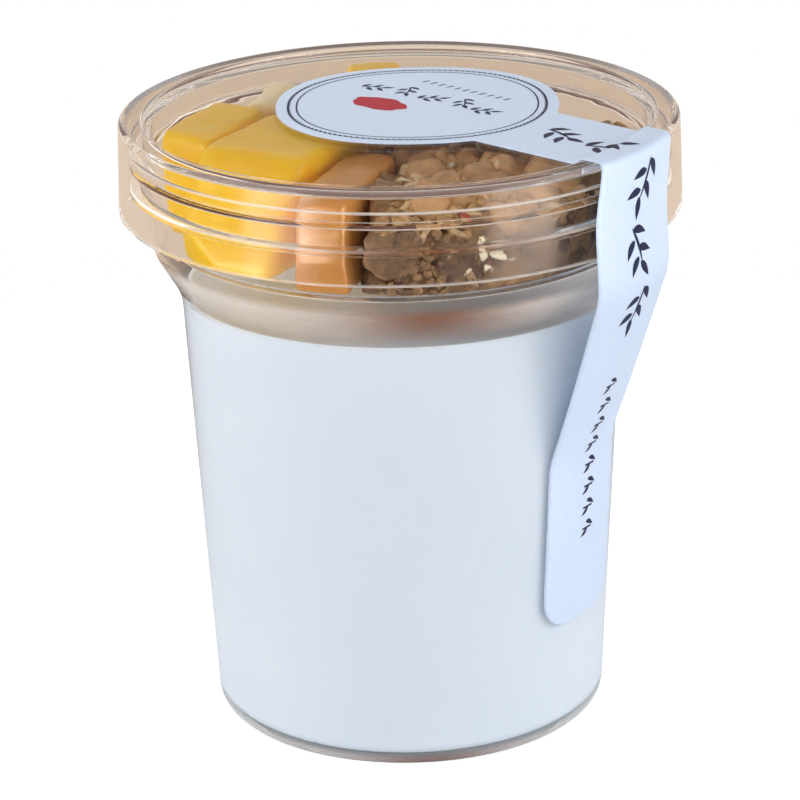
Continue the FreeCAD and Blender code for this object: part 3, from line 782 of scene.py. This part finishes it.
def make_core():
    """The heap under its loose pieces, 1.2 mm inside them all round, with lumps about 6 mm wide."""
    bearing = np.linspace(0, 2 * math.pi, 120, endpoint=False)
    shares = np.linspace(0.02, 1, 26)
    top = [heap_point(bearing, s, heap_top(s) + 0 * bearing, 1.0) for s in shares]
    ups = np.linspace(heap_top(1) - 0.8, 0.1, 14)
    sides = [heap_point(bearing, 1.0, u + 0 * bearing, 1.0) for u in ups]
    floor = [heap_point(bearing, s, 0.1 + 0 * bearing, 1.0) for s in (0.5, 0.02)]
    rings = np.array(top + sides + floor)
    points = rings.reshape(-1, 3)
    lumps = uneven(points, 6, 21) * 0.6 + uneven(points, 2.8, 22) * 0.35
    points = points + (points - (*HEAP_HEART, TRAY_FLOOR)) / 30 * lumps[:, None]
    rows, around = rings.shape[:2]
    index = np.arange(rows * around).reshape(rows, around)
    ahead = np.roll(index, -1, axis=1)
    quads = np.stack([index[:-1], index[1:], ahead[1:], ahead[:-1]], axis=2).reshape(-1, 4)
    caps = [index[0].tolist(), index[-1][::-1].tolist()]
    core = mesh_piece("granola_core", inside_tray(points, 0.3), quads.tolist() + caps, GRANOLA)
    # A low, dark tone: painted shade in the gaps between the loose pieces.
    mark(core, "tone", np.full(len(points), 0.25))
    dress(core, "granola", "granola")


def scatter(name, material, shape, places, sizes, tones, rng, flat=0.0):
    """Copies of a unit shape at places, each with its own turn, size (x, y, z) and tone, joined into
    one mesh and pressed inside the tray. With flat near 1 the turns stay close to level."""
    unit, faces = shape
    count = len(places)
    axes = rng.normal(size=(count, 3))
    axes[:, 2] += flat * 6
    z = axes / np.linalg.norm(axes, axis=1, keepdims=True)
    x = np.cross(z, rng.normal(size=(count, 3)))
    x /= np.linalg.norm(x, axis=1, keepdims=True)
    turn = np.stack([x, np.cross(z, x), z], axis=1)
    points = np.einsum("nvi,nij->nvj", unit[None] * sizes[:, None, :], turn) + places[:, None, :]
    points = inside_tray(points.reshape(-1, 3), 0.12)
    all_faces = faces[None] + (np.arange(count) * len(unit))[:, None, None]
    piece = mesh_piece(name, points, all_faces.reshape(-1, faces.shape[1]).tolist(), material)
    mark(piece, "tone", np.repeat(tones, len(unit)))
    return dress(piece, "granola")


def lump_shape(cells, roughness, seed):
    """A rounded lump of radius 1 from the cube's grid, with waves of the given height."""
    unit, faces = block_grid(cells)
    unit = unit / (np.abs(unit) ** 2.6).sum(axis=1, keepdims=True) ** (1 / 2.6)
    waves = uneven(unit * 10, 11, seed) + 0.5 * uneven(unit * 10, 5, seed + 3)
    return unit * (1 + roughness * waves)[:, None], faces


def flake_shape():
    """A rolled oat flake of radius 1 and thickness 0.5: an oval disc with a dished top, thin at its edge."""
    around, rings = 14, np.array([0.35, 0.7, 0.95])
    turn = np.linspace(0, 2 * math.pi, around, endpoint=False)
    edge = 1 + 0.07 * np.sin(3 * turn + 1) + 0.05 * np.sin(5 * turn)
    heights = np.array([0.14, 0.2, 0.1])
    upper = np.stack([rings[:, None] * edge * np.cos(turn), rings[:, None] * edge * np.sin(turn) * 0.8,
                      heights[:, None] + 0.05 * np.sin(2 * turn)], axis=-1)
    lower = upper[::-1] * (1, 1, -1)
    points = np.concatenate([upper, lower]).reshape(-1, 3)
    index = np.arange(len(points)).reshape(6, around)
    ahead = np.roll(index, -1, axis=1)
    quads = np.stack([index[:-1], index[1:], ahead[1:], ahead[:-1]], axis=2).reshape(-1, 4)
    top, bottom = len(points), len(points) + 1
    points = np.concatenate([points, [[0, 0, 0.08], [0, 0, -0.08]]])
    centre = np.full(around, top)
    under = np.full(around, bottom)
    fans = np.concatenate([np.stack([centre, index[0], ahead[0], ahead[0]], axis=1),
                           np.stack([under, ahead[-1], index[-1], index[-1]], axis=1)])
    return points, np.concatenate([quads, fans])


def heap_skin(count, rng, side_share, depth):
    """Random places over the heap's top and down its sides, up to depth mm under its skin."""
    bearing = rng.uniform(0, 2 * math.pi, count)
    on_side = rng.uniform(size=count) < side_share
    share = np.where(on_side, 1.0, np.sqrt(rng.uniform(size=count)))
    rng.uniform(size=count)  # One draw is passed over, so that those after it keep their places.
    up = np.where(on_side, rng.uniform(0, 1, count) * heap_top(1.0), heap_top(share))
    sunk = rng.uniform(0, depth, count)
    return heap_point(bearing, share, up - np.where(on_side, 0, sunk), 0.4 + sunk)


def painted_shade_and_random_tones(places, rng):
    """A tone for each place: painted shade, dark down the heap's side and lighter over its top, and uneven
    by chance.
    """
    return smooth_step((places[:, 2] - TRAY_FLOOR - 9) / 6) * 0.75 + rng.uniform(0, 0.35, len(places))


def make_granola():
    """Clusters, flakes, crumbs and a few berries over the core."""
    rng = np.random.default_rng(7)
    make_core()
    for name, material, shape, count, low, high, side, sunk, flat in (
            ("granola_clusters", GRANOLA, lump_shape(7, 0.13, 2), 190, 1.9, 4.0, 0.55, 1.4, 0.0),
            ("oat_flakes", OAT_FLAKE, flake_shape(), 170, 1.8, 3.0, 0.4, 0.4, 0.2),
            ("granola_crumbs", CRUMB, lump_shape(2, 0.12, 5), 3000, 0.35, 1.1, 0.4, 0.3, 0.0),
            ("dried_berries", DRIED_BERRY, lump_shape(5, 0.12, 8), 4, 1.2, 2.0, 0.1, 0.2, 0.0)):
        places = heap_skin(count, rng, side, sunk)
        sizes = rng.uniform(low, high, (count, 1)) * rng.uniform(0.75, 1.15, (count, 3))
        scatter(name, material, shape, places, sizes, painted_shade_and_random_tones(places, rng), rng, flat)
    # Pale flakes: loose ones over the top, then some at the wall by bearing, height and size.
    loose = 14
    wall_bearing, wall_up, wall_size = np.array([
        (-71, 8.2, 2.6), (-67.5, 6.4, 2.2), (-69, 4.6, 1.6), (-75, 4.4, 1.3), (-64, 5.4, 1.2)]).T
    bearing = np.concatenate([rng.uniform(0, 2 * math.pi, loose), np.radians(wall_bearing)])
    up = np.concatenate([np.full(loose, HEAP_HEIGHT - 1.0), wall_up])
    radius = np.concatenate([rng.uniform(4, 20, loose), tray_limit(TRAY_FLOOR + wall_up, 0.5)])
    pale = np.stack([radius * np.cos(bearing), radius * np.sin(bearing), TRAY_FLOOR + up], axis=1)
    pale[:loose, :2] += HEAP_HEART
    sizes = np.concatenate([rng.uniform(1.2, 2.0, loose), wall_size])[:, None] * (1, 1, 0.9)
    tones = rng.uniform(0.6, 1.2, len(pale))
    scatter("pale_oat_flakes", PALE_OAT, flake_shape(), pale, sizes, tones, rng, 0.2)


make_granola()

# ---------------------------------------------------------------- floor, world and lamps


def make_floor():
    """A white sheet under the cup on a warm brown table. The camera sees it white to its edge, but for
    the cup's shadow. Other rays find it white near the cup and brown further out."""
    material, tree = new_material("white_table_sheet")
    distance = add_node(tree, "ShaderNodeVectorMath", {0: object_place(tree)}, operation="LENGTH")
    table = ranged(tree, distance.outputs["Value"], 60 * MM, 190 * MM)
    far = mixed(tree, table, "#F2F2F2", "#7A665A")
    sheet = add_node(tree, "ShaderNodeBsdfDiffuse", {"Color": far}).outputs[0]
    paper = add_node(tree, "ShaderNodeBsdfDiffuse", {"Color": linear("#F2F2F2")}).outputs[0]
    glow = add_node(tree, "ShaderNodeEmission", {"Color": linear("#FFFFFF"), "Strength": 0.5}).outputs[0]
    white = add_node(tree, "ShaderNodeAddShader", {0: paper, 1: glow}).outputs[0]
    seen = add_node(tree, "ShaderNodeLightPath").outputs["Is Camera Ray"]
    finished(material, tree, joined(tree, seen, sheet, white))
    bearing = np.linspace(0, 2 * math.pi, 64, endpoint=False)
    edge = 240.0 * np.stack([np.cos(bearing), np.sin(bearing), 0 * bearing], axis=1)
    mesh_piece("table_sheet", edge, [list(range(64))], material)


def background(tree, colour, strength):
    """Light from all round in a colour."""
    return add_node(tree, "ShaderNodeBackground", {"Color": colour, "Strength": strength}).outputs[0]


def make_world():
    """White all round to the camera. Reflections and the clear plastic see a white band round the
    horizon in a warm room, pale behind the cup and dim before it. Reflections also see a bright screen
    at each side of the front. The pieces are lit by an even soft light, stronger from the sides than
    from above."""
    world = bpy.data.worlds.new("studio")
    world.use_nodes = True
    scene.world = world
    tree = world.node_tree
    tree.nodes.clear()
    # The way a ray looks, each number from -1 to 1: to the right, to the back and up.
    x, y, z = add_node(tree, "ShaderNodeSeparateXYZ", {
        0: add_node(tree, "ShaderNodeTexCoord").outputs["Generated"]}).outputs
    aside, tilt = worked(tree, "ABSOLUTE", x), worked(tree, "ABSOLUTE", z)
    path = add_node(tree, "ShaderNodeLightPath").outputs

    behind, below = ranged(tree, y, -0.25, 0.85, interpolation_type="SMOOTHSTEP"), ranged(tree, z, 0.2, -0.1)
    room = mixed(tree, worked(tree, "MULTIPLY", behind, below), "#6E5048", "#DFCCBA")
    room = mixed(tree, ranged(tree, z, 0.42, 0.6, 0.0, 0.9), room, "#DAD2CC")
    room = mixed(tree, ranged(tree, tilt, 0.03, 0.12), "#FFFFFF", room)

    # Each screen's near and far edge, its front, top and foot. Rays through plastic don't see it.
    screen = ranged(tree, aside, 0.5, 0.62)
    for limit in (ranged(tree, aside, 0.93, 0.84), ranged(tree, y, 0.0, -0.2), ranged(tree, z, 0.5, 0.4),
                  ranged(tree, z, -0.46, -0.42), worked(tree, "SUBTRACT", 1.0, path["Is Transmission Ray"])):
        screen = worked(tree, "MULTIPLY", screen, limit)
    room = mixed(tree, screen, room, "#F6F4F4")
    bright = worked(tree, "MULTIPLY_ADD", screen, ranged(tree, z, -0.3, -0.15, 6.0, 40.0), 1.0)

    mirrored = background(tree, room, bright)
    soft = background(tree, linear("#F4F7FC"), ranged(tree, tilt, 0.05, 0.7, 1.7, 0.4))
    white = background(tree, linear("#FFFFFF"), 1.0)
    through = worked(tree, "MAXIMUM", path["Is Glossy Ray"], path["Is Transmission Ray"])
    light = joined(tree, through, soft, mirrored)
    add_node(tree, "ShaderNodeOutputWorld", {"Surface": joined(tree, path["Is Camera Ray"], light, white)})


def make_lamp(name, bearing, height, distance, size, power, colour):
    """A square soft box at a bearing and a height angle, aimed at the middle of the cup."""
    data = bpy.data.lights.new(name, "AREA")
    data.shape, data.size, data.energy = "SQUARE", size * MM, power
    data.color = linear(colour)[:3]
    lamp = bpy.data.objects.new(name, data)
    scene.collection.objects.link(lamp)
    a, e = math.radians(bearing), math.radians(height)
    way = Vector((math.cos(a) * math.cos(e), math.sin(a) * math.cos(e), math.sin(e)))
    lamp.location = way * distance * MM + Vector((0, 0, 60 * MM))
    lamp.rotation_euler = way.to_track_quat("Z", "Y").to_euler()
    lamp.visible_camera = lamp.visible_transmission = False


make_floor()
make_world()
make_lamp("left_softbox", -165, 22, 800, 420, 1.3, "#FFFDF8")
make_lamp("right_softbox", -20, 20, 900, 420, 1.8, "#F4F8FF")
make_lamp("back_softbox", 100, 40, 900, 500, 1.2, "#FFFFFF")
scene.view_settings.view_transform = "Standard"
for limit in ("max_bounces", "transmission_bounces", "transparent_max_bounces"):
    setattr(scene.cycles, limit, 20)
